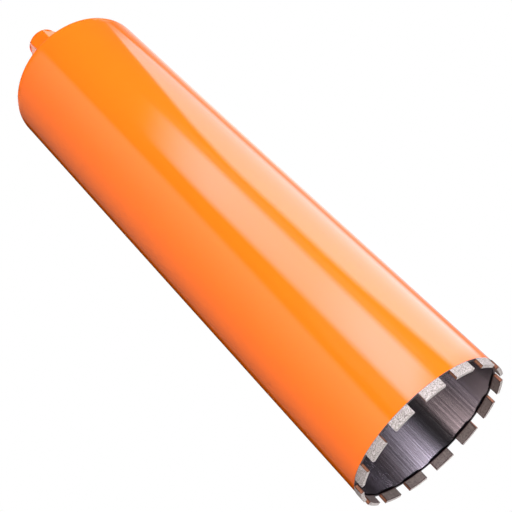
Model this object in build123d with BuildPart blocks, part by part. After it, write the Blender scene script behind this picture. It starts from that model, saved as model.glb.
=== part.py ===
from build123d import *
import os
from math import cos, degrees, radians, sin, sqrt, tan

# Diamond core bit: a steel barrel with fifteen diamond segments on its cutting
# end, closed at the other end by a welded plate that carries a threaded hub.
#
# The bit stands on its segments. Z = 0 is the cutting face, +Z runs along the
# axis towards the hub, +X passes through the middle of segment 1, and lengths
# are in millimetres.

# Cutting end
cutting_diameter = 127.0      # the hole that the bit cuts
segment_count = 15
segment_length = 16.6         # along the arc, at mid thickness
segment_height = 7.0          # from the rim to the cutting face
side_clearance = 0.4          # a segment stands this proud of each barrel wall
honed_edge = 0.3              # small chamfer round a segment's cutting face

# Barrel
barrel_wall = 2.0
drilling_depth = 450.0        # cutting face to the inner face of the back plate
rim_chamfer = 0.3             # outer edge of the rim, ground after welding

# Back plate
flange_thickness = 7.0        # the part that closes the barrel from outside
spigot_depth = 4.0            # the step that centres the plate in the barrel
spigot_clearance = 0.1        # radial, spigot to barrel
flange_edge_radius = 4.0      # rounded outer back edge

# Seam weld between barrel and back plate, dressed almost flush
seam_depth = 1.2              # depth and half width of its V groove
seam_crown = 0.15

# Hub
hub_projection = 67.0         # beyond the plate's back face
hub_spigot_diameter = 28.0    # seat in the plate's centre hole
hub_clearance = 0.05          # radial, spigot to plate
boss_diameter = 40.0
boss_height = 12.0            # round shoulder that stands on the plate
boss_edge = 1.0               # chamfer where the boss meets its cone
cone_angle = 40.0             # from the axis, boss down to the hexagon's waist
across_flats = 27.0           # for a standard spanner
corner_diameter = 30.6        # the hexagon's corners are turned down to this
hexagon_turn = -2.0           # from the middle of segment 1 to a corner, in degrees
hexagon_chamfer_angle = 30.0  # turned chamfer at both ends of the hexagon
nose_inset = 0.6              # the end face is this much inside the flats
weld_leg = 4.0                # fillet weld round the boss

# Spindle thread and coolant passage
thread_diameter = 20.96       # G 1/2 pipe thread, measured at its root
thread_depth = 32.0
thread_lead_in = 1.0          # countersink at the mouth
drill_point_angle = 118.0
coolant_bore = 12.0

# Sizes that follow
cut_radius = cutting_diameter / 2
barrel_radius = cut_radius - side_clearance
barrel_bore_radius = barrel_radius - barrel_wall
segment_bore_radius = barrel_bore_radius - side_clearance
segment_mid_radius = (cut_radius + segment_bore_radius) / 2
segment_angle = degrees(segment_length / segment_mid_radius)

rim_z = segment_height
plate_inner_z = drilling_depth
barrel_end_z = plate_inner_z + spigot_depth
plate_back_z = barrel_end_z + flange_thickness
boss_top_z = plate_back_z + boss_height
hub_end_z = plate_back_z + hub_projection

hub_spigot_radius = hub_spigot_diameter / 2
boss_radius = boss_diameter / 2
flat_radius = across_flats / 2
corner_radius = corner_diameter / 2
nose_radius = flat_radius - nose_inset
waist_z = boss_top_z + (boss_radius - flat_radius) / tan(radians(cone_angle))


def finish(builder, name):
    """Label a finished piece and write it to its own STEP file."""
    builder.part.label = name
    export_step(builder.part, f"parts/{name}.step")


os.makedirs("parts", exist_ok=True)

# Barrel: a welded tube, square at the rim and bevelled for its seam at the back.
with BuildPart() as barrel:
    with BuildSketch(Plane.XY.offset(rim_z)):
        Circle(barrel_radius)
        Circle(barrel_bore_radius, mode=Mode.SUBTRACT)
    extrude(amount=barrel_end_z - rim_z)
    rim_edge = barrel.edges().group_by(Axis.Z)[0].sort_by(SortBy.RADIUS)[-1]
    chamfer(rim_edge, rim_chamfer)
    seam_edge = barrel.edges().group_by(Axis.Z)[-1].sort_by(SortBy.RADIUS)[-1]
    chamfer(seam_edge, seam_depth)
finish(barrel, "barrel")

# Back plate: a turned disc whose spigot enters the barrel.
with BuildPart() as back_plate:
    with BuildSketch(Plane.XZ):
        with BuildLine():
            Polyline(
                (hub_spigot_radius + hub_clearance, plate_inner_z),
                (barrel_bore_radius - spigot_clearance, plate_inner_z),
                (barrel_bore_radius - spigot_clearance, barrel_end_z),
                (barrel_radius - seam_depth, barrel_end_z),
                (barrel_radius, barrel_end_z + seam_depth),
                (barrel_radius, plate_back_z),
                (hub_spigot_radius + hub_clearance, plate_back_z),
                close=True,
            )
        make_face()
    revolve(axis=Axis.Z)
    back_edge = back_plate.edges().group_by(Axis.Z)[-1].sort_by(SortBy.RADIUS)[-1]
    fillet(back_edge, flange_edge_radius)
finish(back_plate, "back_plate")

# Seam weld: fills the V groove between barrel and plate.
with BuildPart() as seam_weld:
    with BuildSketch(Plane.XZ):
        with BuildLine():
            groove = Polyline(
                (barrel_radius, barrel_end_z - seam_depth),
                (barrel_radius - seam_depth, barrel_end_z),
                (barrel_radius, barrel_end_z + seam_depth),
            )
            ThreePointArc(groove @ 1, (barrel_radius + seam_crown, barrel_end_z), groove @ 0)
        make_face()
    revolve(axis=Axis.Z)
finish(seam_weld, "seam_weld")

# Hub: turned from bar, with six milled flats, a tapped hole and a coolant bore.
hexagon_chamfer = (corner_radius - flat_radius) * tan(radians(hexagon_chamfer_angle))
nose_chamfer = (corner_radius - nose_radius) * tan(radians(hexagon_chamfer_angle))
thread_radius = thread_diameter / 2
coolant_radius = coolant_bore / 2
thread_floor_z = hub_end_z - thread_depth
drill_point = (thread_radius - coolant_radius) / tan(radians(drill_point_angle / 2))

with BuildPart() as hub:
    with BuildSketch(Plane.XZ):
        with BuildLine():
            Polyline(
                (coolant_radius, plate_inner_z),
                (hub_spigot_radius, plate_inner_z),
                (hub_spigot_radius, plate_back_z),
                (boss_radius, plate_back_z),
                (boss_radius, boss_top_z),
                (flat_radius, waist_z),
                (corner_radius, waist_z + hexagon_chamfer),
                (corner_radius, hub_end_z - nose_chamfer),
                (nose_radius, hub_end_z),
                (thread_radius + thread_lead_in, hub_end_z),
                (thread_radius, hub_end_z - thread_lead_in),
                (thread_radius, thread_floor_z),
                (coolant_radius, thread_floor_z - drill_point),
                close=True,
            )
        make_face()
    revolve(axis=Axis.Z)
    with BuildSketch(Plane.XY.offset(waist_z)):
        Circle(boss_radius)
        RegularPolygon(across_flats / sqrt(3), 6, rotation=hexagon_turn, mode=Mode.SUBTRACT)
    extrude(amount=hub_end_z - waist_z, mode=Mode.SUBTRACT)
    boss_rim = hub.edges().filter_by(GeomType.CIRCLE).filter_by_position(Axis.Z, boss_top_z, boss_top_z)
    chamfer(boss_rim, boss_edge)
finish(hub, "hub")

# Hub weld: a mitred fillet weld all round the boss.
with BuildPart() as hub_weld:
    with BuildSketch(Plane.XZ):
        with BuildLine():
            Polyline(
                (boss_radius, plate_back_z + weld_leg),
                (boss_radius, plate_back_z),
                (boss_radius + weld_leg, plate_back_z),
                close=True,
            )
        make_face()
    revolve(axis=Axis.Z)
finish(hub_weld, "hub_weld")

# Diamond segments: arcs of a ring that stand on the rim, one node each.
def diamond_segment(bearing):
    """Build the segment whose middle is at this bearing from +X, in degrees."""
    half = radians(segment_angle / 2)
    with BuildPart() as segment:
        with BuildSketch(Plane.XY.rotated((0, 0, bearing))):
            with BuildLine():
                outside = ThreePointArc(
                    (cut_radius * cos(half), -cut_radius * sin(half)),
                    (cut_radius, 0),
                    (cut_radius * cos(half), cut_radius * sin(half)),
                )
                inside = ThreePointArc(
                    (segment_bore_radius * cos(half), -segment_bore_radius * sin(half)),
                    (segment_bore_radius, 0),
                    (segment_bore_radius * cos(half), segment_bore_radius * sin(half)),
                )
                Line(outside @ 0, inside @ 0)
                Line(outside @ 1, inside @ 1)
            make_face()
        extrude(amount=segment_height)
        chamfer(segment.faces().sort_by(Axis.Z)[0].edges(), honed_edge)
    return segment


for index in range(segment_count):
    bearing = index * 360 / segment_count
    finish(diamond_segment(bearing), f"segment_{index + 1:02d}")
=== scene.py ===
"""A diamond core bit: enamelled steel barrel, laser-welded diamond segments, threaded hub.

Outlines are given as (radius, height) corners in millimetres and turned round the
Z axis. The bit stands on its segments: Z = 0 is the cutting face, +Z runs along
the axis towards the hub, and +X passes through the middle of segment 1.
"""

import logging
import math
from dataclasses import dataclass
from enum import Enum, IntEnum
from typing import Callable, ClassVar, Mapping, Sequence

import bmesh
import bpy
from mathutils import Matrix, Vector, noise

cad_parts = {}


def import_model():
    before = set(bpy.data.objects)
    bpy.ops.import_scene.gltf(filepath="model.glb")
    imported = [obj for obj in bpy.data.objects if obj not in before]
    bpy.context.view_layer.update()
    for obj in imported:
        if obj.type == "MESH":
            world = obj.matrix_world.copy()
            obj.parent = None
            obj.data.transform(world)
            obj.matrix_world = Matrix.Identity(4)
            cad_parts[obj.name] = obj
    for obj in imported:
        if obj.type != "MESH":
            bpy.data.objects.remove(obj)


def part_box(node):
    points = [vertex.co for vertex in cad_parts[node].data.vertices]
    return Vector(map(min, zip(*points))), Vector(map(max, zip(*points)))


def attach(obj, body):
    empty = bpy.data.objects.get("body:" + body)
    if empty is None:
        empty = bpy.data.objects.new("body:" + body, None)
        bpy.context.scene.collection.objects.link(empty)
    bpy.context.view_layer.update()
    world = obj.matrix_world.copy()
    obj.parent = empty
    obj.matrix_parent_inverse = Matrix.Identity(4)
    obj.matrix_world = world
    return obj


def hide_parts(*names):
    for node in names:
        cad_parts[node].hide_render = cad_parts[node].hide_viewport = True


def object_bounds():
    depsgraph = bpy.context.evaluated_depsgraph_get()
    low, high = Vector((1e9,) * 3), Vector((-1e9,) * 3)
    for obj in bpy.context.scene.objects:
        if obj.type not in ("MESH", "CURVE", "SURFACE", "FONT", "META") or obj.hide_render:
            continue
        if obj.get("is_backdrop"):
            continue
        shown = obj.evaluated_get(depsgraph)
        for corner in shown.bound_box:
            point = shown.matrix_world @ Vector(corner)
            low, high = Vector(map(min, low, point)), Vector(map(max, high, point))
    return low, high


MM = 0.001
BODY = "root"
TURN_STEPS = 288                # facets round a turned piece
SHARP_ANGLE = math.radians(28)  # edges that turn more than this stay crisp
MERGE_DISTANCE = 1e-4           # mm
AROUND = 0.25                   # anisotropic rotation of marks that run round the axis
WAVE_RADIANS = 20               # by which a wave texture of scale 1 turns in a metre

log = logging.getLogger("core_bit")

Corner = tuple[float, float]
Span = tuple[float, float]
Stops = tuple[tuple[float, float], ...]
Socket = bpy.types.NodeSocket


class Slot(str, Enum):
    """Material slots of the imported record."""

    ENAMEL = "enamelled_steel"
    MATRIX = "diamond_matrix"


# --------------------------------------------------------------------------------------
# Colours and nodes
# --------------------------------------------------------------------------------------

def linear(code: str) -> tuple[float, float, float, float]:
    """Turn an sRGB hex colour into linear RGBA.

    Args:
        code: Six hex digits.

    Returns:
        Linear red, green, blue and an alpha of 1.
    """
    channels = [int(code[i:i + 2], 16) / 255 for i in (0, 2, 4)]
    bright = [c / 12.92 if c <= 0.04045 else ((c + 0.055) / 1.055) ** 2.4 for c in channels]
    return bright[0], bright[1], bright[2], 1.0


def add_node(
    tree: bpy.types.NodeTree,
    kind: str,
    settings: Mapping[str | int, object] | None = None,
    links: Mapping[str | int, Socket] | None = None,
) -> bpy.types.Node:
    """Add a node with its settings and its incoming links.

    Args:
        tree: The node tree that takes the node.
        kind: Blender's type name of the node.
        settings: Values by property name, or by input name or number.
        links: Output sockets by the name or number of the input that they feed.

    Returns:
        The new node.
    """
    node = tree.nodes.new(kind)
    for name, value in (settings or {}).items():
        if isinstance(name, str) and hasattr(node, name):
            setattr(node, name, value)
        else:
            node.inputs[name].default_value = value
    for name, socket in (links or {}).items():
        tree.links.new(socket, node.inputs[name])
    return node


def new_material(name: str) -> tuple[bpy.types.Material, bpy.types.NodeTree, Socket]:
    """Start a node material.

    Args:
        name: The material's name.

    Returns:
        The material, its empty node tree and the surface input of its output node.
    """
    material = bpy.data.materials.new(name)
    material.use_nodes = True
    tree = material.node_tree
    tree.nodes.clear()
    output = tree.nodes.new("ShaderNodeOutputMaterial")
    return material, tree, output.inputs["Surface"]


# --------------------------------------------------------------------------------------
# Finishes
# --------------------------------------------------------------------------------------

@dataclass(frozen=True)
class StovedEnamel:
    """Sprayed and stoved orange enamel: a clean deep orange under a wet-looking gloss."""

    name: str = "stoved_orange_enamel"
    body_colour: str = "F76C10"
    thin_colour: str = "F2690E"      # where the coat lies a touch thinner
    cloud_mm: float = 70.0           # size of the slow changes in film thickness
    peel_mm: float = 2.5             # pitch of the orange peel
    peel_depth_mm: float = 0.0012
    pigment_roughness: float = 0.5
    gloss_roughness: float = 0.07
    gloss_ior: float = 1.5

    def build(self) -> bpy.types.Material:
        """Make the material.

        Returns:
            The material, ready for a mesh.
        """
        material, tree, surface = new_material(self.name)
        place = add_node(tree, "ShaderNodeTexCoord").outputs["Object"]
        cloud = add_node(tree, "ShaderNodeTexNoise", {
            "Scale": 1 / (self.cloud_mm * MM), "Detail": 2.0, "Roughness": 0.5}, {"Vector": place})
        tone = add_node(tree, "ShaderNodeMix", {
            "data_type": "RGBA", 6: linear(self.body_colour), 7: linear(self.thin_colour)},
            {0: cloud.outputs["Fac"]})
        peel = add_node(tree, "ShaderNodeTexNoise", {
            "Scale": 1 / (self.peel_mm * MM), "Detail": 1.0, "Roughness": 0.4}, {"Vector": place})
        bump = add_node(tree, "ShaderNodeBump", {
            "Strength": 1.0, "Distance": self.peel_depth_mm * MM}, {"Height": peel.outputs["Fac"]})
        shader = add_node(tree, "ShaderNodeBsdfPrincipled", {
            "Roughness": self.pigment_roughness, "Specular IOR Level": 0.0, "Coat Weight": 1.0,
            "Coat Roughness": self.gloss_roughness, "Coat IOR": self.gloss_ior},
            {"Base Color": tone.outputs[2], "Normal": bump.outputs[0],
             "Coat Normal": bump.outputs[0]})
        tree.links.new(shader.outputs[0], surface)
        return material


@dataclass(frozen=True)
class HonedTubeBore:
    """Bare bore of the steel tube: fine rings round the wall smear light along the axis. Next to
    the rim a black band is drawn that is partly weld heat tint and partly painted shade: it rises
    higher above each segment, whose inner edge overhangs the wall."""

    rim_mm: float
    segment_count: int
    segment_angle: float             # degrees
    name: str = "honed_steel_bore"
    steel_colour: str = "AEACAF"
    dull_colour: str = "888589"
    # near-black of the band above the rim: weld heat tint, with painted shade where it rises above
    # each segment
    tint_and_shade_colour: str = "08070A"
    mark_mm: float = 1.3             # width of a drawing mark, wider than real so that it shows
    mark_length_mm: float = 400.0
    roughness: float = 0.27
    tint_and_shade_gap_mm: float = 0.9       # height of the black line between segments
    tint_and_shade_segment_mm: float = 2.1   # and above a segment
    shoulder: Span = (0.6, 1.35)   # its step, in half segments from a segment's middle
    fade: Span = (0.75, 1.2)       # its soft upper edge, in shares of its height

    def build(self) -> bpy.types.Material:
        """Make the material.

        Returns:
            The material, ready for a mesh.
        """
        material, tree, surface = new_material(self.name)
        place = add_node(tree, "ShaderNodeTexCoord").outputs["Object"]
        across = 1 / (self.mark_mm * MM)
        along = 1 / (self.mark_length_mm * MM)
        stretched = add_node(tree, "ShaderNodeMapping", {"Scale": (across, across, along)},
                             {"Vector": place})
        marks = add_node(tree, "ShaderNodeTexNoise", {
            "Scale": 1.0, "Detail": 3.0, "Roughness": 0.6}, {"Vector": stretched.outputs[0]})
        drawn = add_node(tree, "ShaderNodeMapRange", {"From Min": 0.35, "From Max": 0.65},
                         {"Value": marks.outputs["Fac"]})
        steel = add_node(tree, "ShaderNodeMix", {
            "data_type": "RGBA", 6: linear(self.dull_colour), 7: linear(self.steel_colour)},
            {0: drawn.outputs[0]})

        axes = add_node(tree, "ShaderNodeSeparateXYZ", links={"Vector": place})
        bearing = add_node(tree, "ShaderNodeMath", {"operation": "ARCTAN2"},
                           {0: axes.outputs["Y"], 1: axes.outputs["X"]})
        # height of the black band: heat tint between segments, taller above each segment as painted
        # shade under its overhanging edge
        pitch = 2 * math.pi / self.segment_count
        off_centre = add_node(tree, "ShaderNodeMath", {"operation": "PINGPONG", 1: pitch / 2},
                              {0: bearing.outputs[0]})
        half = math.radians(self.segment_angle) / 2
        band = add_node(tree, "ShaderNodeMapRange", {
            "interpolation_type": "SMOOTHSTEP", "From Min": half * self.shoulder[1],
            "From Max": half * self.shoulder[0], "To Min": self.tint_and_shade_gap_mm * MM,
            "To Max": self.tint_and_shade_segment_mm * MM}, {"Value": off_centre.outputs[0]})
        above_rim = add_node(tree, "ShaderNodeMath", {"operation": "SUBTRACT", 1: self.rim_mm * MM},
                             {0: axes.outputs["Z"]})
        share = add_node(tree, "ShaderNodeMath", {"operation": "DIVIDE"},
                         {0: above_rim.outputs[0], 1: band.outputs[0]})
        # painted shade with heat tint: the bore goes black just above the rim
        tint_and_shade = add_node(tree, "ShaderNodeMapRange", {
            "interpolation_type": "SMOOTHSTEP", "From Min": self.fade[1],
            "From Max": self.fade[0]}, {"Value": share.outputs[0]})
        colour = add_node(tree, "ShaderNodeMix", {
            "data_type": "RGBA", 7: linear(self.tint_and_shade_colour)},
            {0: tint_and_shade.outputs[0], 6: steel.outputs[2]})
        tangent = add_node(tree, "ShaderNodeTangent", {"direction_type": "RADIAL", "axis": "Z"})
        shader = add_node(tree, "ShaderNodeBsdfPrincipled", {
            "Metallic": 1.0, "Roughness": self.roughness, "Anisotropic": 1.0,
            "Anisotropic Rotation": AROUND},
            {"Base Color": colour.outputs[2], "Tangent": tangent.outputs[0]})
        tree.links.new(shader.outputs[0], surface)
        return material


@dataclass(frozen=True)
class TurnedSteel:
    """Lathe-turned bright steel: fine rings that catch the light round the axis."""

    name: str = "turned_steel"
    colour: str = "A8A6A4"
    groove_mm: float = 0.8           # pitch of the rings, coarser than real so that they show
    depth_mm: float = 0.005
    roughness: float = 0.33

    def build(self) -> bpy.types.Material:
        """Make the material.

        Returns:
            The material, ready for a mesh.
        """
        material, tree, surface = new_material(self.name)
        place = add_node(tree, "ShaderNodeTexCoord").outputs["Object"]
        rings = add_node(tree, "ShaderNodeTexWave", {
            "wave_type": "RINGS", "rings_direction": "Z", "Distortion": 0.3,
            "Scale": 2 * math.pi / WAVE_RADIANS / (self.groove_mm * MM)}, {"Vector": place})
        bump = add_node(tree, "ShaderNodeBump", {
            "Strength": 0.6, "Distance": self.depth_mm * MM}, {"Height": rings.outputs["Fac"]})
        shader = add_node(tree, "ShaderNodeBsdfPrincipled", {
            "Base Color": linear(self.colour), "Metallic": 1.0, "Roughness": self.roughness},
            {"Normal": bump.outputs[0]})
        tree.links.new(shader.outputs[0], surface)
        return material


@dataclass(frozen=True)
class HeatBluedSteel:
    """Steel next to a laser weld: gone blue-black to brown and matt with the heat."""

    name: str
    dark: str
    light: str
    blotch_mm: float = 3.0

    def build(self) -> bpy.types.Material:
        """Make the material.

        Returns:
            The material, ready for a mesh.
        """
        material, tree, surface = new_material(self.name)
        place = add_node(tree, "ShaderNodeTexCoord").outputs["Object"]
        patches = add_node(tree, "ShaderNodeTexNoise", {
            "Scale": 1 / (self.blotch_mm * MM), "Detail": 3.0}, {"Vector": place})
        colour = add_node(tree, "ShaderNodeMix", {
            "data_type": "RGBA", 6: linear(self.dark), 7: linear(self.light)},
            {0: patches.outputs["Fac"]})
        shader = add_node(tree, "ShaderNodeBsdfPrincipled", {
            "Metallic": 0.5, "Roughness": 0.55}, {"Base Color": colour.outputs[2]})
        tree.links.new(shader.outputs[0], surface)
        return material


@dataclass(frozen=True)
class GroundMatrix:
    """Ground diamond matrix: pale bright metal, smeared by the wheel and peppered with grit."""

    radius_mm: float
    name: str = "ground_diamond_matrix"
    metal: str = "B0A9A6"
    smear: str = "625B58"
    grit_dark: str = "5E5854"
    grit_bright: str = "C8C3C1"
    mark_mm: float = 0.35            # width of the marks that the wheel leaves along the arc
    mark_length_mm: float = 1.1
    grit_mm: float = 0.45            # coarse diamond grit, as it shows on a ground face
    grit_relief_mm: float = 0.05

    def shrunk(self, tree: bpy.types.NodeTree, length: Socket) -> Socket:
        """Measure a length in widths of a mark.

        Args:
            tree: The material's node tree.
            length: The length in metres.

        Returns:
            The length in marks.
        """
        return add_node(tree, "ShaderNodeMath", {
            "operation": "MULTIPLY", 1: 1 / (self.mark_mm * MM)}, {0: length}).outputs[0]

    def build(self) -> bpy.types.Material:
        """Make the material.

        Returns:
            The material, ready for a mesh.
        """
        material, tree, surface = new_material(self.name)
        place = add_node(tree, "ShaderNodeTexCoord").outputs["Object"]
        axes = add_node(tree, "ShaderNodeSeparateXYZ", links={"Vector": place})
        bearing = add_node(tree, "ShaderNodeMath", {"operation": "ARCTAN2"},
                           {0: axes.outputs["Y"], 1: axes.outputs["X"]})
        along = add_node(tree, "ShaderNodeMath", {
            "operation": "MULTIPLY", 1: self.radius_mm / self.mark_length_mm},
            {0: bearing.outputs[0]})
        out = add_node(tree, "ShaderNodeVectorMath", {"operation": "LENGTH"}, {0: place})
        wound = add_node(tree, "ShaderNodeCombineXYZ", links={
            "X": along.outputs[0], "Y": self.shrunk(tree, out.outputs["Value"]),
            "Z": self.shrunk(tree, axes.outputs["Z"])})
        smear = add_node(tree, "ShaderNodeTexNoise", {
            "Scale": 1.0, "Detail": 4.0, "Roughness": 0.65}, {"Vector": wound.outputs[0]})
        spread = add_node(tree, "ShaderNodeMapRange", {"From Min": 0.4, "From Max": 0.62},
                          {"Value": smear.outputs["Fac"]})
        metal = add_node(tree, "ShaderNodeMix", {
            "data_type": "RGBA", 6: linear(self.metal), 7: linear(self.smear)},
            {0: spread.outputs[0]})
        cells = add_node(tree, "ShaderNodeTexVoronoi", {
            "feature": "F1", "Scale": 1 / (self.grit_mm * MM)}, {"Vector": place})
        grain = add_node(tree, "ShaderNodeSeparateColor", links={"Color": cells.outputs["Color"]})
        near = add_node(tree, "ShaderNodeMapRange", {"From Min": 0.5, "From Max": 0.3},
                        {"Value": cells.outputs["Distance"]})
        colour = metal.outputs[2]
        for channel, tint in ((0, self.grit_dark), (1, self.grit_bright)):
            chosen = add_node(tree, "ShaderNodeMapRange", {"From Min": 0.7, "From Max": 0.78},
                              {"Value": grain.outputs[channel]})
            speck = add_node(tree, "ShaderNodeMath", {"operation": "MULTIPLY"},
                             {0: chosen.outputs[0], 1: near.outputs[0]})
            colour = add_node(tree, "ShaderNodeMix", {"data_type": "RGBA", 7: linear(tint)},
                              {0: speck.outputs[0], 6: colour}).outputs[2]
        bump = add_node(tree, "ShaderNodeBump", {
            "Strength": 0.4, "Distance": self.grit_relief_mm * MM}, {"Height": near.outputs[0]})
        shader = add_node(tree, "ShaderNodeBsdfPrincipled", {
            "Metallic": 0.1, "Roughness": 0.65, "Specular IOR Level": 0.25},
            {"Base Color": colour, "Normal": bump.outputs[0]})
        tree.links.new(shader.outputs[0], surface)
        return material


@dataclass(frozen=True)
class SinteredSkin:
    """As-sintered matrix skin: matt and a little blotchy, and darker towards its border."""

    name: str
    light: str
    dark: str
    border: str
    border_mm: float = 0.9           # width of the darkened border
    blotch_mm: float = 1.2
    relief_mm: float = 0.05

    def build(self) -> bpy.types.Material:
        """Make the material.

        Returns:
            The material, ready for a mesh.
        """
        material, tree, surface = new_material(self.name)
        place = add_node(tree, "ShaderNodeTexCoord").outputs["Object"]
        blotch = add_node(tree, "ShaderNodeTexNoise", {
            "Scale": 1 / (self.blotch_mm * MM), "Detail": 4.0, "Roughness": 0.6}, {"Vector": place})
        spread = add_node(tree, "ShaderNodeMapRange", {"From Min": 0.35, "From Max": 0.65},
                          {"Value": blotch.outputs["Fac"]})
        body = add_node(tree, "ShaderNodeMix", {
            "data_type": "RGBA", 6: linear(self.dark), 7: linear(self.light)},
            {0: spread.outputs[0]})
        border = add_node(tree, "ShaderNodeAttribute", {
            "attribute_type": "GEOMETRY", "attribute_name": Segments.BORDER})
        inside = add_node(tree, "ShaderNodeMapRange", {
            "interpolation_type": "SMOOTHSTEP", "From Min": 0.2 * self.border_mm,
            "From Max": self.border_mm}, {"Value": border.outputs["Fac"]})
        colour = add_node(tree, "ShaderNodeMix", {"data_type": "RGBA", 6: linear(self.border)},
                          {0: inside.outputs[0], 7: body.outputs[2]})
        bump = add_node(tree, "ShaderNodeBump", {
            "Strength": 0.6, "Distance": self.relief_mm * MM}, {"Height": blotch.outputs["Fac"]})
        shader = add_node(tree, "ShaderNodeBsdfPrincipled", {
            "Metallic": 0.35, "Roughness": 0.55, "Specular IOR Level": 0.3},
            {"Base Color": colour.outputs[2], "Normal": bump.outputs[0]})
        tree.links.new(shader.outputs[0], surface)
        return material


# --------------------------------------------------------------------------------------
# Shaping
# --------------------------------------------------------------------------------------

def turned(outline: Sequence[Corner], steps: int = TURN_STEPS) -> bmesh.types.BMesh:
    """Turn a closed outline round the Z axis.

    Args:
        outline: Corners in millimetres, in order.
        steps: Facets round the axis.

    Returns:
        A closed solid in millimetres, with its faces outwards.
    """
    bm = bmesh.new()
    corners = [bm.verts.new((radius, 0.0, height)) for radius, height in outline]
    sides = [bm.edges.new(pair) for pair in zip(corners, corners[1:] + corners[:1])]
    bmesh.ops.spin(bm, geom=corners + sides, cent=(0, 0, 0), axis=(0, 0, 1),
                   angle=2 * math.pi, steps=steps, use_merge=True)
    bmesh.ops.recalc_face_normals(bm, faces=bm.faces)
    return bm


def round_over(
    bm: bmesh.types.BMesh,
    width: float,
    segments: int,
    chosen: Callable[[bmesh.types.BMEdge], bool],
) -> None:
    """Round the chosen edges.

    Args:
        bm: The mesh, in millimetres.
        width: How far the rounding reaches from the edge.
        segments: Facets across the rounding.
        chosen: Says whether an edge is rounded.
    """
    edges = [edge for edge in bm.edges if chosen(edge)]
    bmesh.ops.bevel(bm, geom=edges, offset=width, offset_type="OFFSET", segments=segments,
                    profile=0.5, affect="EDGES", material=-1, clamp_overlap=True)


def on_ring(
    radius: float, height: float, reach: float = 0.02,
) -> Callable[[bmesh.types.BMEdge], bool]:
    """Say which edges run along a circle round the axis.

    Args:
        radius: The circle's radius in millimetres.
        height: Its height.
        reach: How far off an end may lie.

    Returns:
        A test for an edge.
    """
    def test(edge: bmesh.types.BMEdge) -> bool:
        """Whether both ends lie on the circle."""
        return all(
            abs(math.hypot(v.co.x, v.co.y) - radius) < reach and abs(v.co.z - height) < reach
            for v in edge.verts)
    return test


def make_piece(
    bm: bmesh.types.BMesh,
    name: str,
    finishes: Sequence[bpy.types.Material],
    stands_for: Sequence[str],
) -> bpy.types.Object:
    """Turn a finished mesh into an object that stands for CAD nodes.

    Args:
        bm: The mesh, in millimetres. It is freed.
        name: The object's name.
        finishes: Materials, in the order of the faces' material numbers.
        stands_for: The CAD nodes that it replaces.

    Returns:
        The object, at the origin.
    """
    bmesh.ops.scale(bm, vec=(MM, MM, MM), verts=bm.verts)
    for face in bm.faces:
        face.smooth = True
    for edge in bm.edges:
        edge.smooth = edge.calc_face_angle(0.0) < SHARP_ANGLE
    mesh = bpy.data.meshes.new(name)
    bm.to_mesh(mesh)
    bm.free()
    for finish in finishes:
        mesh.materials.append(finish)
    piece = bpy.data.objects.new(name, mesh)
    bpy.context.scene.collection.objects.link(piece)
    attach(piece, BODY)
    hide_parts(*stands_for)
    log.info("%s: %d faces, stands for %s", name, len(mesh.polygons), ", ".join(stands_for))
    return piece


# --------------------------------------------------------------------------------------
# The object
# --------------------------------------------------------------------------------------

class BarrelSide(IntEnum):
    """Where a face of the barrel lies, as the number of its material."""

    OUTSIDE = 0
    BORE = 1
    RIM = 2
    CHAMFER = 3


@dataclass
class Barrel:
    """Drawn steel tube, enamelled outside and bare inside."""

    radius: float
    rim: float
    end: float
    wall: float = 2.0
    rim_chamfer: float = 0.3
    bare_line: float = 0.12          # the enamel stops this far above the chamfer
    seam_depth: float = 1.2

    @property
    def bore(self) -> float:
        """Radius of the inside wall."""
        return self.radius - self.wall

    def side(self, face: bmesh.types.BMFace) -> BarrelSide:
        """Say which side of the barrel a face belongs to.

        Args:
            face: A face with its normal up to date.

        Returns:
            The side.
        """
        centre = face.calc_center_median()
        radius = math.hypot(centre.x, centre.y)
        if abs(face.normal.z) < 0.1 and radius < self.bore + self.wall / 2:
            return BarrelSide.BORE
        if centre.z < self.rim + self.rim_chamfer * 0.1:
            return BarrelSide.RIM
        if centre.z < self.rim + self.rim_chamfer + self.bare_line:
            return BarrelSide.CHAMFER
        return BarrelSide.OUTSIDE

    def build(self, finishes: Sequence[bpy.types.Material]) -> bpy.types.Object:
        """Make the barrel.

        Args:
            finishes: Materials in the order of BarrelSide.

        Returns:
            The barrel.
        """
        bm = turned([
            (self.bore, self.rim),
            (self.radius - self.rim_chamfer, self.rim),
            (self.radius, self.rim + self.rim_chamfer),
            (self.radius, self.rim + self.rim_chamfer + self.bare_line),
            (self.radius, self.end - self.seam_depth),
            (self.radius - self.seam_depth, self.end),
            (self.bore, self.end),
        ], steps=2 * TURN_STEPS)
        bm.normal_update()
        for face in bm.faces:
            face.material_index = self.side(face)
        return make_piece(bm, "enamelled_barrel", finishes, ["barrel"])


@dataclass
class BackPlate:
    """Turned steel disc that closes the barrel, enamelled outside."""

    barrel: Barrel
    inner_face: float
    outer_face: float
    hole_radius: float = 14.05
    spigot_clearance: float = 0.1
    edge_radius: float = 4.0
    edge_facets: int = 10

    def build(self, enamel: bpy.types.Material, bare: bpy.types.Material) -> bpy.types.Object:
        """Make the plate.

        Args:
            enamel: Finish of what shows outside.
            bare: Finish of what faces into the barrel.

        Returns:
            The plate.
        """
        barrel = self.barrel
        bm = turned([
            (self.hole_radius, self.inner_face),
            (barrel.bore - self.spigot_clearance, self.inner_face),
            (barrel.bore - self.spigot_clearance, barrel.end),
            (barrel.radius - barrel.seam_depth, barrel.end),
            (barrel.radius, barrel.end + barrel.seam_depth),
            (barrel.radius, self.outer_face),
            (self.hole_radius, self.outer_face),
        ])
        round_over(bm, self.edge_radius, self.edge_facets, on_ring(barrel.radius, self.outer_face))
        for face in bm.faces:
            face.material_index = int(face.calc_center_median().z < barrel.end)
        return make_piece(bm, "enamelled_back_plate", [enamel, bare], ["back_plate"])


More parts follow.
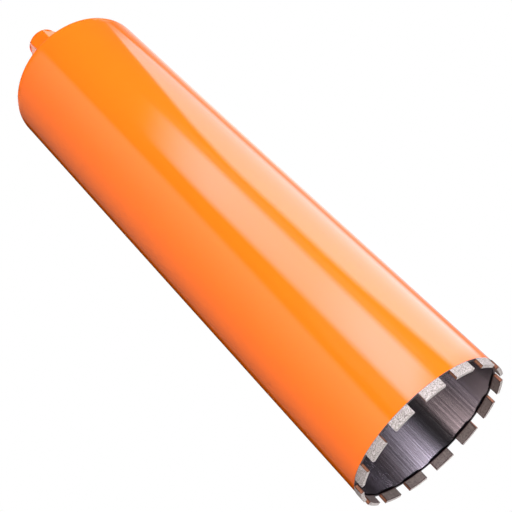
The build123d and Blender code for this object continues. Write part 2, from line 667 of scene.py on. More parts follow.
@dataclass
class SeamWeld:
    """Weld between barrel and plate, dressed almost flush, so only faint waves are left."""

    barrel: Barrel
    crown: float = 0.03
    ripple_depth: float = 0.01
    ripple_count: int = 150

    def build(self, enamel: bpy.types.Material) -> bpy.types.Object:
        """Make the weld.

        Args:
            enamel: Its finish.

        Returns:
            The weld.
        """
        barrel = self.barrel
        arc = [
            (barrel.radius + self.crown * math.sin(math.pi * share),
             barrel.end + barrel.seam_depth * (1 - 2 * share))
            for share in (0, 0.15, 0.3, 0.5, 0.7, 0.85, 1)
        ]
        bm = turned([(barrel.radius - barrel.seam_depth, barrel.end), *arc], steps=3 * TURN_STEPS)
        for vert in bm.verts:
            radius = math.hypot(vert.co.x, vert.co.y)
            if radius > barrel.radius:
                wave = math.cos(self.ripple_count * math.atan2(vert.co.y, vert.co.x))
                share = (radius - barrel.radius) / self.crown
                vert.co.xy *= 1 - self.ripple_depth * share * (1 + wave) / 2 / radius
        return make_piece(bm, "seam_weld_bead", [enamel], ["seam_weld"])


@dataclass
class Hub:
    """Turned and milled hub with its spindle thread, enamelled outside and bare in the bore."""

    plate: BackPlate
    end: float
    spigot_radius: float = 14.0
    boss_radius: float = 20.0
    boss_height: float = 12.0
    boss_edge: float = 1.0
    cone_angle: float = 40.0         # degrees from the axis
    across_flats: float = 27.0
    corner_radius: float = 15.3      # the hexagon's corners are turned down to this
    turn: float = -2.0               # degrees from +X to a corner
    chamfer_angle: float = 30.0
    collar_radius: float = 14.2
    collar: float = 1.0              # the flats stop this far below the end, which stays round
    collar_edge: float = 0.3
    edge_break: float = 0.12
    thread_radius: float = 10.48     # at the thread's root
    thread_depth: float = 32.0
    thread_lead_in: float = 1.0
    thread_pitch: float = 1.814
    thread_flank: float = 27.5       # degrees
    crest_radius: float = 9.32
    crest_width: float = 0.3
    thread_sink: float = 0.05        # the ridge reaches this far into the wall
    coolant_radius: float = 6.0
    drill_point_angle: float = 118.0
    steps: int = 144                 # facets round the hub
    thread_steps: int = 72

    @property
    def flat_radius(self) -> float:
        """Distance of a flat from the axis."""
        return self.across_flats / 2

    @property
    def waist(self) -> float:
        """Height at which the cone meets the hexagon."""
        drop = (self.boss_radius - self.flat_radius) / math.tan(math.radians(self.cone_angle))
        return self.plate.outer_face + self.boss_height + drop

    def foot(self) -> bmesh.types.BMesh:
        """Make the spigot, the boss and its cone, with a flat top at the waist.

        Returns:
            A closed solid.
        """
        boss_top = self.plate.outer_face + self.boss_height
        bm = turned([
            (self.coolant_radius, self.plate.inner_face),
            (self.spigot_radius, self.plate.inner_face),
            (self.spigot_radius, self.plate.outer_face),
            (self.boss_radius, self.plate.outer_face),
            (self.boss_radius, boss_top),
            (self.flat_radius, self.waist),
            (self.coolant_radius, self.waist),
        ], self.steps)
        round_over(bm, self.boss_edge, 3, on_ring(self.boss_radius, boss_top))
        return bm

    def head(self) -> bmesh.types.BMesh:
        """Make the hexagon with its bore, with a flat underside at the waist.

        Returns:
            A closed solid.
        """
        rise = math.tan(math.radians(self.chamfer_angle))
        ledge = self.end - self.collar
        floor = self.end - self.thread_depth
        point = (self.thread_radius - self.coolant_radius) / math.tan(
            math.radians(self.drill_point_angle / 2))
        bm = turned([
            (self.coolant_radius, self.waist),
            (self.flat_radius, self.waist),
            (self.corner_radius, self.waist + (self.corner_radius - self.flat_radius) * rise),
            (self.corner_radius, ledge - (self.corner_radius - self.collar_radius) * rise),
            (self.collar_radius, ledge),
            (self.collar_radius, self.end - self.collar_edge),
            (self.collar_radius - self.collar_edge, self.end),
            (self.thread_radius + self.thread_lead_in, self.end),
            (self.thread_radius, self.end - self.thread_lead_in),
            (self.thread_radius, floor),
            (self.coolant_radius, floor - point),
        ], self.steps)
        for number in range(6):
            self.mill(bm, math.radians(self.turn + 30 + 60 * number), ledge)
        bm.normal_update()
        round_over(bm, self.edge_break, 2, self.is_corner)
        return bm

    def mill(self, bm: bmesh.types.BMesh, bearing: float, ledge: float) -> None:
        """Mill one flat up to a ledge.

        Args:
            bm: The turned head, with a ring of edges at the ledge.
            bearing: Where the flat faces, in radians.
            ledge: Height at which the cutter stops.
        """
        outwards = Vector((math.cos(bearing), math.sin(bearing), 0))
        sideways = Vector((-outwards.y, outwards.x, 0))
        below = [face for face in bm.faces if face.calc_center_median().z < ledge]
        cut = bmesh.ops.bisect_plane(
            bm, geom=[*{v for face in below for v in face.verts},
                      *{edge for face in below for edge in face.edges}, *below],
            dist=MERGE_DISTANCE, plane_co=outwards * self.flat_radius, plane_no=outwards)
        waste = [face for face in bm.faces if face.calc_center_median().z < ledge
                 and face.calc_center_median().dot(outwards) > self.flat_radius]
        arc = {v for face in waste for v in face.verts if abs(v.co.z - ledge) < MERGE_DISTANCE}
        outline = {item for item in cut["geom_cut"] if isinstance(item, bmesh.types.BMVert)}
        outline |= {v for v in arc if abs(v.co.dot(outwards) - self.flat_radius) < MERGE_DISTANCE}
        middle = sum((v.co for v in outline), Vector()) / len(outline)
        bmesh.ops.delete(bm, geom=waste, context="FACES")
        bm.faces.new(sorted(arc, key=lambda v: v.co.dot(sideways)))
        bm.faces.new(sorted(outline, key=lambda v: math.atan2(
            v.co.z - middle.z, (v.co - middle).dot(sideways))))

    def is_corner(self, edge: bmesh.types.BMEdge) -> bool:
        """Whether an edge is a long one, between a flat and a turned corner.

        Args:
            edge: An edge of the head.

        Returns:
            True if it is broken by hand.
        """
        a, b = edge.verts
        upright = abs(a.co.z - b.co.z) > 5 and (a.co - b.co).xy.length < 0.01
        at_corner = math.hypot(a.co.x, a.co.y) > self.corner_radius - 0.05
        return upright and at_corner and edge.calc_face_angle(0.0) > math.radians(10)

    def thread(self, bm: bmesh.types.BMesh) -> None:
        """Wind the ridge of the internal thread into the bore.

        Args:
            bm: The hub's mesh, which takes the ridge.
        """
        root = self.thread_radius + self.thread_sink
        flank = (root - self.crest_radius) * math.tan(math.radians(self.thread_flank))
        turns = int((self.thread_depth - 3 * self.thread_pitch) / self.thread_pitch)
        start = self.end - self.thread_lead_in - turns * self.thread_pitch - 2 * flank
        profile = [
            (root, start), (self.crest_radius, start + flank),
            (self.crest_radius, start + flank + self.crest_width),
            (root, start + 2 * flank + self.crest_width),
        ]
        corners = [bm.verts.new((radius, 0.0, height)) for radius, height in profile]
        sides = [bm.edges.new(pair) for pair in zip(corners, corners[1:] + corners[:1])]
        bm.faces.new(corners)
        wound = bmesh.ops.spin(
            bm, geom=sides, cent=(0, 0, 0), axis=(0, 0, 1),
            dvec=(0, 0, self.thread_pitch / self.thread_steps),
            angle=2 * math.pi * turns, steps=turns * self.thread_steps)
        last = [item for item in wound["geom_last"] if isinstance(item, bmesh.types.BMEdge)]
        bmesh.ops.holes_fill(bm, edges=last, sides=0)

    def build(self, enamel: bpy.types.Material, bare: bpy.types.Material) -> bpy.types.Object:
        """Make the hub.

        Args:
            enamel: Finish of the outside.
            bare: Finish of the end face, the bore and the thread.

        Returns:
            The hub.
        """
        bm = self.head()
        lower = self.foot()
        spare = bpy.data.meshes.new("hub_foot")
        lower.to_mesh(spare)
        lower.free()
        bm.from_mesh(spare)
        bpy.data.meshes.remove(spare)
        shared = [face for face in bm.faces
                  if all(abs(v.co.z - self.waist) < MERGE_DISTANCE for v in face.verts)]
        bmesh.ops.delete(bm, geom=shared, context="FACES_ONLY")
        bmesh.ops.remove_doubles(bm, verts=bm.verts, dist=10 * MERGE_DISTANCE)
        self.thread(bm)
        bmesh.ops.recalc_face_normals(bm, faces=bm.faces)
        for face in bm.faces:
            centre = face.calc_center_median()
            radius = math.hypot(centre.x, centre.y)
            inside = radius < self.thread_radius + self.thread_lead_in
            end_face = centre.z > self.end - MERGE_DISTANCE
            buried = centre.z < self.plate.outer_face - MERGE_DISTANCE
            face.material_index = int(inside or end_face or buried)
        return make_piece(bm, "enamelled_hub", [enamel, bare], ["hub"])


@dataclass
class HubWeld:
    """Fillet weld round the boss, laid by hand, so it is built up of overlapping ripples."""

    hub: Hub
    leg: float = 4.0
    crown: float = 0.5
    ripple_count: int = 46
    ripple_depth: float = 0.28
    lean: float = 0.5                # how far a ripple trails across the bead, in ripples
    face_steps: int = 8              # facets across the bead
    toe: float = 0.05                # next to the boss and the plate the bead stays as laid

    def build(self, enamel: bpy.types.Material) -> bpy.types.Object:
        """Make the weld.

        Args:
            enamel: Its finish.

        Returns:
            The weld.
        """
        foot = self.hub.plate.outer_face
        radius = self.hub.boss_radius
        shares = [step / self.face_steps for step in range(self.face_steps + 1)]
        face = [
            (radius + self.leg * share + self.crown * math.sin(math.pi * share) / math.sqrt(2),
             foot + self.leg * (1 - share) + self.crown * math.sin(math.pi * share) / math.sqrt(2))
            for share in shares
        ]
        bm = turned([(radius, foot), *face], steps=2 * TURN_STEPS)
        for vert in bm.verts:
            out = math.hypot(vert.co.x, vert.co.y) - radius
            share = out / self.leg
            if out < self.toe or vert.co.z - foot < self.toe:
                continue
            across = math.sin(math.pi * min(1.0, max(0.0, share)))
            phase = self.ripple_count * math.atan2(vert.co.y, vert.co.x) / (2 * math.pi)
            phase += self.lean * across
            saw = phase - math.floor(phase)
            dip = self.ripple_depth * across * (1 - math.sqrt(max(0.0, 1 - saw * saw)))
            shrink = 1 - dip / self.leg
            vert.co.z = foot + (vert.co.z - foot) * shrink
            vert.co.xy *= (radius + out * shrink) / (radius + out)
        return make_piece(bm, "hub_weld_bead", [enamel], ["hub_weld"])


class SegmentSide(IntEnum):
    """Where a face of a segment lies, as the number of its material."""

    GROUND = 0
    INNER = 1
    END = 2


@dataclass
class Segments:
    """Ring of diamond segments that stand on the rim, ground outside and on the cutting face."""

    BORDER: ClassVar[str] = "border"  # mesh attribute: how far a point is from its face's border

    cut_radius: float
    rim: float
    count: int = 15
    length: float = 16.6             # along the arc, at mid thickness
    thickness: float = 2.8
    edge_round: float = 0.25
    cell: float = 0.45               # grid of the grit
    grit_depth: float = 0.05
    grain: float = 1.3               # size of a grain, in cells of the grid
    seed_step: float = 31.7          # so that no two segments have the same grit

    @property
    def mid_radius(self) -> float:
        """Radius at mid thickness."""
        return self.cut_radius - self.thickness / 2

    @property
    def angle(self) -> float:
        """Arc of one segment, in degrees."""
        return math.degrees(self.length / self.mid_radius)

    def blank(self) -> bmesh.types.BMesh:
        """Make one straight segment: X along its length, Y through it, Z up.

        Returns:
            A closed solid, cut into a fine grid.
        """
        bm = bmesh.new()
        bmesh.ops.create_cube(bm, size=1.0)
        bmesh.ops.scale(bm, vec=(self.length, self.thickness, self.rim), verts=bm.verts)
        bmesh.ops.translate(bm, vec=(0, 0, self.rim / 2), verts=bm.verts)
        round_over(bm, self.edge_round, 2,
                   lambda edge: not all(v.co.z > self.rim - 0.01 for v in edge.verts))
        for axis, reach, middle in ((0, self.length, 0.0), (1, self.thickness, 0.0),
                                    (2, self.rim, self.rim / 2)):
            cuts = round(reach / self.cell)
            for number in range(1, cuts):
                place = [0.0, 0.0, 0.0]
                place[axis] = middle + reach * (number / cuts - 0.5)
                normal = [float(axis == index) for index in range(3)]
                bmesh.ops.bisect_plane(
                    bm, geom=[*bm.verts, *bm.edges, *bm.faces], dist=MERGE_DISTANCE,
                    plane_co=place, plane_no=normal)
        return bm

    def finish_faces(self, bm: bmesh.types.BMesh) -> None:
        """Number the faces' materials and note each point's distance from its face's border.

        Args:
            bm: The straight segment.
        """
        bm.normal_update()
        for face in bm.faces:
            if face.normal.y < -0.7:
                face.material_index = SegmentSide.INNER
            elif abs(face.normal.x) > 0.7:
                face.material_index = SegmentSide.END
            else:
                face.material_index = SegmentSide.GROUND
        border = bm.verts.layers.float.new(self.BORDER)
        for vert in bm.verts:
            x, y, z = vert.co
            depths = (self.length / 2 - abs(x), self.thickness / 2 - abs(y), min(z, self.rim - z))
            vert[border] = sorted(depths)[1]

    def build(self, finishes: Sequence[bpy.types.Material]) -> list[bpy.types.Object]:
        """Make all the segments.

        Args:
            finishes: Materials in the order of SegmentSide.

        Returns:
            The segments, segment 1 first.
        """
        blank = self.blank()
        self.finish_faces(blank)
        pattern = bpy.data.meshes.new("segment_blank")
        blank.to_mesh(pattern)
        blank.free()
        made = []
        for number in range(self.count):
            bm = bmesh.new()
            bm.from_mesh(pattern)
            bm.normal_update()
            seed = Vector((self.seed_step * number, 0, 0))
            for vert in bm.verts:
                grit = abs(noise.cell((vert.co + seed) / (self.cell * self.grain)))
                if vert.co.z < self.rim - self.cell:
                    vert.co -= vert.normal * self.grit_depth * grit
            bearing = 2 * math.pi * number / self.count
            for vert in bm.verts:
                angle = bearing + vert.co.x / self.mid_radius
                radius = self.mid_radius + vert.co.y
                vert.co.xy = radius * math.cos(angle), radius * math.sin(angle)
            bmesh.ops.recalc_face_normals(bm, faces=bm.faces)
            label = f"{number + 1:02d}"
            made.append(make_piece(bm, f"diamond_segment_{label}", finishes,
                                   [f"segment_{label}"]))
        bpy.data.meshes.remove(pattern)
        return made


# --------------------------------------------------------------------------------------
# The studio
# --------------------------------------------------------------------------------------

LILAC = "F7EDFF"                     # tint of the flash heads
ROSE = "FFE6E6"                      # tint of what bounces back from the fill screen
MOUTH_FALL: Stops = ((-1.9, 0.6), (-0.9, 0.75), (-0.4, 0.9), (-0.02, 1.0))
SHEEN_FADE: Stops = ((0.078, 0.6), (0.8, 0.9), (2.5, 1.0), (3.9, 0.0))
PLAIN: Stops = ((0.0, 1.0), (1.0, 1.0))
SURROUNDINGS_GLOW = 0.13             # what gloss sees where there is no card
TABLE_GLOW = 0.6                     # what gloss sees in the table


@dataclass
class Portrait:
    """The camera: it looks up into the open end from below, along the bit's length."""

    aim: tuple[float, float, float] = (0.0008, 0.0, 0.1976)   # metres
    distance: float = 0.776
    azimuth: float = 0.62            # degrees, 0 looks along +Y
    elevation: float = 31.4          # of the view direction above the horizon
    roll: float = 44.8               # the picture's top leans this far to the right
    lens: float = 71.2               # mm, on a 36 mm sensor

    def build(self) -> bpy.types.Object:
        """Set the camera up.

        Returns:
            The camera, which the scene uses.
        """
        azimuth, elevation, roll = map(math.radians, (self.azimuth, self.elevation, self.roll))
        forward = Vector((math.sin(azimuth) * math.cos(elevation),
                          math.cos(azimuth) * math.cos(elevation), math.sin(elevation)))
        level = forward.cross(Vector((0, 0, 1))).normalized()
        upright = level.cross(forward)
        up = upright * math.cos(roll) + level * math.sin(roll)
        right = forward.cross(up)
        data = bpy.data.cameras.new("portrait")
        data.sensor_width = 36.0
        data.lens = self.lens
        data.clip_start, data.clip_end = 0.01, 50.0
        camera = bpy.data.objects.new("portrait", data)
        turn = Matrix((right, up, -forward)).transposed().to_4x4()
        camera.matrix_world = Matrix.Translation(Vector(self.aim) - forward * self.distance) @ turn
        bpy.context.scene.collection.objects.link(camera)
        bpy.context.scene.camera = camera
        return camera


def between(stops: Stops, place: float) -> float:
    """Read a value off a line drawn through stops.

    Args:
        stops: Places and their values, in order.
        place: Where to read.

    Returns:
        The value there, held beyond the ends.
    """
    for (before, low), (after, high) in zip(stops, stops[1:]):
        if place <= after:
            share = max(0.0, (place - before) / (after - before))
            return low + (high - low) * share
    return stops[-1][1]


@dataclass(frozen=True)
class Softbox:
    """A lamp panel that sheds light but isn't mirrored."""

    name: str
    light: float                     # about what it adds on a surface that faces it
    bearing: float                   # degrees from +X, counter-clockwise
    width: float                     # metres
    bottom: float                    # metres
    top: float
    distance: float = 1.5
    tint: str = "FFFFFF"

    def stand(self) -> bpy.types.Object:
        """Set the lamp up, upright and facing the axis.

        Returns:
            The lamp.
        """
        bearing = math.radians(self.bearing)
        height = self.top - self.bottom
        outwards = Vector((math.cos(bearing), math.sin(bearing), 0))
        middle = outwards * self.distance + Vector((0, 0, (self.top + self.bottom) / 2))
        sideways = Vector((0, 0, 1)).cross(outwards)
        turn = Matrix((sideways, Vector((0, 0, 1)), outwards)).transposed().to_4x4()
        return self.hang(Matrix.Translation(middle) @ turn, height, self.distance)

    def hang(self, place: Matrix, height: float, distance: float) -> bpy.types.Object:
        """Hang the lamp in a given place.

        Args:
            place: Its place and turn, with the light going towards -Z.
            height: Its second size in metres.
            distance: From the lamp to what it lights, in metres.

        Returns:
            The lamp.
        """
        data = bpy.data.lights.new(self.name, "AREA")
        data.shape = "RECTANGLE"
        data.size, data.size_y = self.width, height
        data.energy = self.light * math.pi ** 2 * distance ** 2
        data.color = linear(self.tint)[:3]
        lamp = bpy.data.objects.new(self.name, data)
        lamp.matrix_world = place
        lamp.visible_camera = lamp.visible_glossy = False
        bpy.context.scene.collection.objects.link(lamp)
        return lamp


@dataclass(frozen=True)
class Card:
    """A glowing card bent round the bit, which only gloss can see. Its edges may lean. A card
    that lies on the table is measured outwards from the axis instead of upwards."""

    name: str
    glow: float
    right: Stops                     # height in metres and bearing in degrees, up its right edge
    left: Stops                      # and up its left edge, as the bit sees it
    across: Stops                    # share of the width from the right edge, share of the glow
    upwards: Stops                   # height in metres, share of the glow
    tint: str = "FFFFFF"
    lift: float = 0.0                # metres that the left edge stands higher
    distance: float = 4.0
    dim: float = SURROUNDINGS_GLOW   # glow of what lies behind the card
    lying: float | None = None       # height in metres of a card that lies down

    def place(self) -> bpy.types.Object:
        """Set the card up.

        Returns:
            The card.
        """
        bottom, top = self.upwards[0][0], self.upwards[-1][0]
        bm = bmesh.new()
        bm.loops.layers.uv.new("UVMap")
        bmesh.ops.create_grid(bm, x_segments=48, y_segments=32, size=0.5, calc_uvs=True)
        for vert in bm.verts:
            width, rise = vert.co.x + 0.5, vert.co.y + 0.5
            height = bottom + (top - bottom) * rise
            right, left = between(self.right, height), between(self.left, height)
            bearing = math.radians(right + (left - right) * width)
            reach = self.distance if self.lying is None else height
            level = height + self.lift * width if self.lying is None else self.lying
            vert.co = reach * math.cos(bearing), reach * math.sin(bearing), level
        mesh = bpy.data.meshes.new(self.name)
        bm.to_mesh(mesh)
        bm.free()
        mesh.materials.append(self.material(bottom, top))
        card = bpy.data.objects.new(self.name, mesh)
        card.visible_camera = card.visible_diffuse = card.visible_shadow = False
        bpy.context.scene.collection.objects.link(card)
        card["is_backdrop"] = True
        return card

    def material(self, bottom: float, top: float) -> bpy.types.Material:
        """Make the card's glow.

        Args:
            bottom: Height of its lower edge.
            top: Height of its upper edge.

        Returns:
            An emitting material.
        """
        material, tree, surface = new_material(self.name + "_glow")
        place = add_node(tree, "ShaderNodeUVMap", {"uv_map": "UVMap"})
        axes = add_node(tree, "ShaderNodeSeparateXYZ", links={"Vector": place.outputs[0]})
        rising = tuple(
            ((height - bottom) / (top - bottom), level) for height, level in self.upwards)
        share = None
        for axis, stops in (("X", self.across), ("Y", rising)):
            ramp = add_node(tree, "ShaderNodeValToRGB", links={"Fac": axes.outputs[axis]})
            points = ramp.color_ramp.elements
            points[0].position, points[1].position = stops[0][0], stops[-1][0]
            for position, _ in stops[1:-1]:
                points.new(position)
            for point, (_, level) in zip(points, stops):
                point.color = (level, level, level, 1.0)
            share = ramp.outputs["Color"] if share is None else add_node(
                tree, "ShaderNodeMath", {"operation": "MULTIPLY"},
                {0: share, 1: ramp.outputs["Color"]}).outputs[0]
        level = add_node(tree, "ShaderNodeMapRange", {"To Min": self.dim, "To Max": self.glow},
                         {"Value": share})
        shader = add_node(tree, "ShaderNodeEmission", {"Color": linear(self.tint)},
                          {"Strength": level.outputs[0]})
        tree.links.new(shader.outputs[0], surface)
        return material


@dataclass(frozen=True)
class Studio:
    """Pale floor, white surroundings, softboxes for the light and cards for the gloss."""

    floor_radius: float = 1.4        # metres
    floor_fade: Span = (0.25, 0.95)  # where it fades out, in shares of its radius
    floor_colour: str = "F4F4F4"
    fill: float = 0.05               # light from all round
    dim: float = SURROUNDINGS_GLOW
    softboxes: tuple[Softbox, ...] = (
        Softbox("front_lamp", light=2.65, bearing=270, width=0.6, bottom=-2.1, top=0.8),
        Softbox("side_lamp", light=1.7, bearing=345, width=0.8, bottom=-1.6, top=1.4),
        Softbox("rear_side_lamp", light=1.1, bearing=52, width=0.8, bottom=-1.0, top=2.0),
        Softbox("rear_lamp", light=2.4, bearing=110, width=0.6, bottom=-1.2, top=2.0),
    )
    overhead: Softbox = Softbox(
        "overhead_lamp", light=0.8, bearing=0, width=2.0, bottom=2.5, top=2.5)
    underneath: Softbox = Softbox(
        "table_bounce", light=0.7, bearing=0, width=1.6, bottom=-1.4, top=-1.4)
    cards: tuple[Card, ...] = (
        Card("key_card", glow=8.1, tint="F5DEFF", lift=0.18,
             right=((0.0, 274.5), (3.15, 274.5), (3.82, 278.0)), left=((0.0, 332.6),),
             across=((0.0, 0.0), (0.14, 0.9), (0.43, 1.0), (0.72, 0.95), (0.86, 0.1), (1.0, 0.07)),
             upwards=((0.0, 0.06), (1.2, 0.06), (1.4, 1.0), (1.7, 1.0), (2.15, 0.65), (2.6, 0.68),
                      (3.04, 0.76), (3.28, 0.6), (3.7, 0.0))),
        Card("side_card", glow=5.8, tint=LILAC, distance=3.9,
             right=((1.33, 347.0), (2.05, 337.0), (3.0, 334.0), (3.43, 341.0), (3.84, 355.0),
                    (4.18, 367.0), (4.48, 381.0)),
             left=((1.33, 415.0), (2.29, 410.5), (3.0, 407.0), (3.9, 401.5), (4.18, 396.5),
                   (4.48, 389.0)),
             across=((0.0, 0.0), (0.12, 1.0), (0.5, 0.76), (0.82, 0.66), (1.0, 0.05)),
             upwards=((0.0, 0.06), (1.2, 0.06), (1.4, 0.93), (1.6, 0.96), (2.2, 0.9), (2.98, 0.78),
                      (3.73, 0.58), (4.2, 0.5), (4.43, 0.1), (4.6, 0.0))),
        Card("fill_card", glow=1.75, tint=ROSE,
             right=((0.0, 127.0),),
             left=((1.46, 249.2), (1.99, 252.8), (2.53, 255.8), (3.33, 258.9), (4.66, 262.0)),
             across=((0.0, 0.02), (0.12, 0.1), (0.25, 0.2), (0.45, 0.3), (0.6, 0.4), (0.75, 0.65),
                     (0.95, 1.0), (1.0, 0.0)),
             upwards=((0.0, 0.3), (1.2, 1.0), (3.15, 1.0), (4.84, 0.7))),
        Card("rear_card", glow=1.35,
             right=((1.37, 47.5), (2.35, 43.0), (3.06, 40.0), (4.13, 36.0), (4.75, 35.0)),
             left=((0.0, 90.0),),
             across=((0.0, 0.0), (0.12, 0.25), (0.3, 0.55), (0.55, 1.0), (0.8, 0.85), (1.0, 0.6)),
             upwards=((0.0, 0.3), (1.55, 0.36), (2.21, 0.8), (2.95, 1.0), (3.68, 0.95),
                      (4.42, 0.6), (4.84, 0.5))),
        Card("black_flag", glow=0.0, dim=TABLE_GLOW,
             right=((0.0, 91.0),), left=((0.0, 126.0),),
             across=PLAIN,
             upwards=((0.0, 0.0), (0.9, 0.0), (1.3, 1.0), (4.84, 1.0))),
        Card("mouth_key_card", glow=14.0, tint=LILAC, distance=1.5,
             right=((0.0, 269.0),), left=((0.0, 362.0),),
             across=((0.0, 0.0), (0.05, 0.16), (0.12, 0.32), (0.18, 0.42), (0.23, 1.0),
                     (0.27, 0.95), (0.31, 0.72), (0.42, 0.88), (0.5, 0.5), (0.57, 0.38),
                     (0.7, 0.2), (0.8, 0.08), (1.0, 0.03)),
             upwards=MOUTH_FALL),
        Card("mouth_side_card", glow=28.0, tint=LILAC, distance=1.5,
             right=((0.0, 362.0),), left=((0.0, 384.0),),
             across=((0.0, 0.0), (0.07, 0.01), (0.11, 1.0), (0.15, 0.01), (0.45, 0.01), (0.6, 0.02),
                     (0.78, 0.01), (0.84, 0.35), (0.9, 0.01), (1.0, 0.0)),
             upwards=MOUTH_FALL),
        Card("mouth_fill_card", glow=7.5, tint=ROSE, distance=1.5,
             right=((0.0, 120.0),), left=((0.0, 247.0),),
             across=((0.0, 0.1), (0.1, 0.22), (0.22, 0.34), (0.4, 0.47), (0.5, 0.45), (0.6, 0.47),
                     (0.68, 0.58), (0.82, 0.95), (0.985, 1.0), (1.0, 0.0)),
             upwards=MOUTH_FALL),
        Card("mouth_rear_card", glow=1.2, distance=1.5,
             right=((0.0, 50.0),), left=((0.0, 120.0),),
             across=((0.0, 0.0), (0.2, 1.0), (0.8, 1.0), (1.0, 0.0)),
             upwards=((-1.9, 1.0), (-0.3, 1.0), (-0.2, 0.0))),
        Card("hub_right_card", glow=2.0,
             right=((4.88, 366.0),), left=((4.88, 407.0),),
             across=((0.0, 0.6), (1.0, 1.0)), upwards=((4.88, 1.0), (5.6, 1.0))),
        Card("hub_left_card", glow=1.9,
             right=((4.88, 130.0),), left=((4.88, 158.0),),
             across=((0.0, 1.0), (1.0, 0.7)), upwards=((4.88, 1.0), (5.6, 1.0))),
    )
    sheen: tuple[Card, ...] = (
        Card("table", glow=TABLE_GLOW, lying=-0.0012,
             right=((0.0, 0.0),), left=((0.0, 360.0),),
             across=PLAIN, upwards=((0.075, 1.0), (3.98, 1.0))),
        Card("key_sheen", glow=3.0, tint=LILAC, lying=-0.001, dim=TABLE_GLOW,
             right=((0.0, 272.0),), left=((0.0, 328.0),),
             across=((0.0, 0.0), (0.2, 1.0), (0.7, 1.0), (1.0, 0.0)),
             upwards=SHEEN_FADE),
        Card("side_sheen", glow=2.6, tint=LILAC, lying=-0.001, dim=TABLE_GLOW,
             right=((0.0, 345.0),), left=((0.0, 412.0),),
             across=((0.0, 0.0), (0.2, 1.0), (0.8, 1.0), (1.0, 0.0)),
             upwards=SHEEN_FADE),
        Card("fill_sheen", glow=1.4, tint=ROSE, lying=-0.001, dim=TABLE_GLOW,
             right=((0.0, 180.0),), left=((0.0, 252.0),),
             across=((0.0, 0.0), (0.5, 0.5), (0.9, 1.0), (1.0, 0.0)),
             upwards=SHEEN_FADE),
        Card("rear_sheen", glow=2.2, lying=-0.001, dim=TABLE_GLOW,
             right=((0.0, 60.0),), left=((0.0, 105.0),),
             across=((0.0, 0.0), (0.3, 1.0), (0.7, 1.0), (1.0, 0.0)),
             upwards=SHEEN_FADE),
    )

    def floor(self) -> bpy.types.Object:
        """Lay the floor: seen from above only, and fading out into the white.

        Returns:
            The floor.
        """
        bm = bmesh.new()
        bmesh.ops.create_circle(bm, cap_ends=True, segments=96, radius=self.floor_radius)
        mesh = bpy.data.meshes.new("floor")
        bm.to_mesh(mesh)
        bm.free()
        material, tree, surface = new_material("painted_floor")
        place = add_node(tree, "ShaderNodeTexCoord").outputs["Object"]
        away = add_node(tree, "ShaderNodeVectorMath", {"operation": "LENGTH"}, {0: place})
        edge = add_node(tree, "ShaderNodeMapRange", {
            "interpolation_type": "SMOOTHSTEP", "From Min": self.floor_fade[0] * self.floor_radius,
            "From Max": self.floor_fade[1] * self.floor_radius}, {"Value": away.outputs["Value"]})
        below = add_node(tree, "ShaderNodeNewGeometry").outputs["Backfacing"]
        clear = add_node(tree, "ShaderNodeMath", {"operation": "MAXIMUM"},
                         {0: edge.outputs[0], 1: below})
        paint = add_node(tree, "ShaderNodeBsdfDiffuse", {"Color": linear(self.floor_colour)})
        hole = add_node(tree, "ShaderNodeBsdfTransparent")
        mixed = add_node(tree, "ShaderNodeMixShader", links={
            0: clear.outputs[0], 1: paint.outputs[0], 2: hole.outputs[0]})
        tree.links.new(mixed.outputs[0], surface)
        mesh.materials.append(material)
        floor = bpy.data.objects.new("floor", mesh)
        floor.visible_diffuse = floor.visible_glossy = floor.visible_shadow = False
        bpy.context.scene.collection.objects.link(floor)
        floor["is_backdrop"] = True
        return floor

    def surroundings(self) -> None:
        """Make the world: white to the camera, dimmer as a light and in mirror images."""
        world = bpy.data.worlds.new("studio_air")
        world.use_nodes = True
        tree = world.node_tree
        tree.nodes.clear()
        ray = add_node(tree, "ShaderNodeLightPath")
        seen = add_node(tree, "ShaderNodeMapRange", {"To Min": self.fill, "To Max": self.dim},
                        {"Value": ray.outputs["Is Glossy Ray"]})
        level = add_node(tree, "ShaderNodeMapRange", {"To Max": 1.0},
                         {"Value": ray.outputs["Is Camera Ray"], "To Min": seen.outputs[0]})
        air = add_node(tree, "ShaderNodeBackground", {"Color": (1, 1, 1, 1)},
                       {"Strength": level.outputs[0]})
        output = add_node(tree, "ShaderNodeOutputWorld", links={"Surface": air.outputs[0]})
        output.is_active_output = True
        bpy.context.scene.world = world

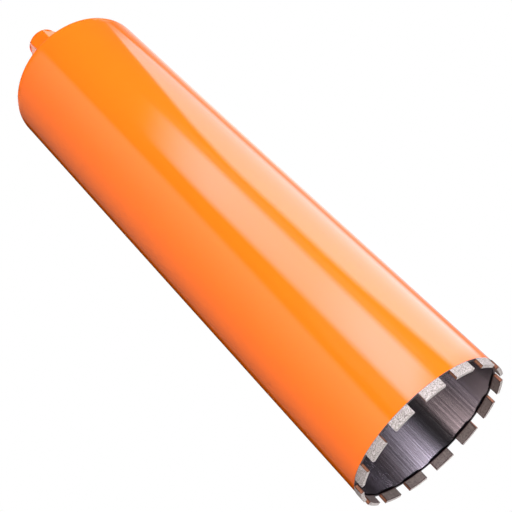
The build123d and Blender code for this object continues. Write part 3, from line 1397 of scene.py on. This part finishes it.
    def build(self) -> None:
        """Set the studio up."""
        self.floor()
        self.surroundings()
        for softbox in self.softboxes:
            softbox.stand()
        above = Matrix.Translation((0, 0, self.overhead.top))
        self.overhead.hang(above, self.overhead.width, self.overhead.top)
        below = Matrix.Translation((0, 0, self.underneath.top)) @ Matrix.Rotation(math.pi, 4, "X")
        self.underneath.hang(below, self.underneath.width, -self.underneath.top)
        for card in (*self.cards, *self.sheen):
            card.place()
        bpy.context.scene.view_settings.view_transform = "Standard"


def main() -> None:
    """Load the frame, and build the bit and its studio."""
    logging.basicConfig(level=logging.INFO, format="%(message)s")
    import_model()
    cad_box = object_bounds()

    barrel_low, barrel_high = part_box("barrel")
    plate_low, plate_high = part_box("back_plate")
    cad_low, cad_high = cad_box
    barrel = Barrel(radius=barrel_high.x / MM, rim=barrel_low.z / MM, end=barrel_high.z / MM)
    plate = BackPlate(barrel, inner_face=plate_low.z / MM, outer_face=plate_high.z / MM)
    hub = Hub(plate, end=cad_high.z / MM)
    segments = Segments(cut_radius=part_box("segment_01")[1].x / MM, rim=barrel.rim)

    enamel = StovedEnamel().build()
    bore = HonedTubeBore(barrel.rim, segments.count, segments.angle).build()
    turned_steel = TurnedSteel().build()
    rim = HeatBluedSteel("heat_blued_rim", dark="141315", light="281D20").build()
    chamfer = HeatBluedSteel("ground_rim_edge", dark="4A3C36", light="6C5E57").build()
    ground = GroundMatrix(segments.cut_radius).build()
    inner_skin = SinteredSkin(
        "sintered_grey_skin", light="746B66", dark="564C49", border="30211D").build()
    end_skin = SinteredSkin(
        "sintered_bronze_skin", light="916146", dark="633F31", border="472C21").build()

    barrel.build([enamel, bore, rim, chamfer])
    plate.build(enamel, turned_steel)
    SeamWeld(barrel).build(enamel)
    hub.build(enamel, turned_steel)
    HubWeld(hub).build(enamel)
    segments.build([ground, inner_skin, end_skin])

    Studio().build()
    Portrait().build()
    log.info("the CAD box reaches from %s to %s", tuple(cad_low), tuple(cad_high))


if __name__ == "__main__":
    main()
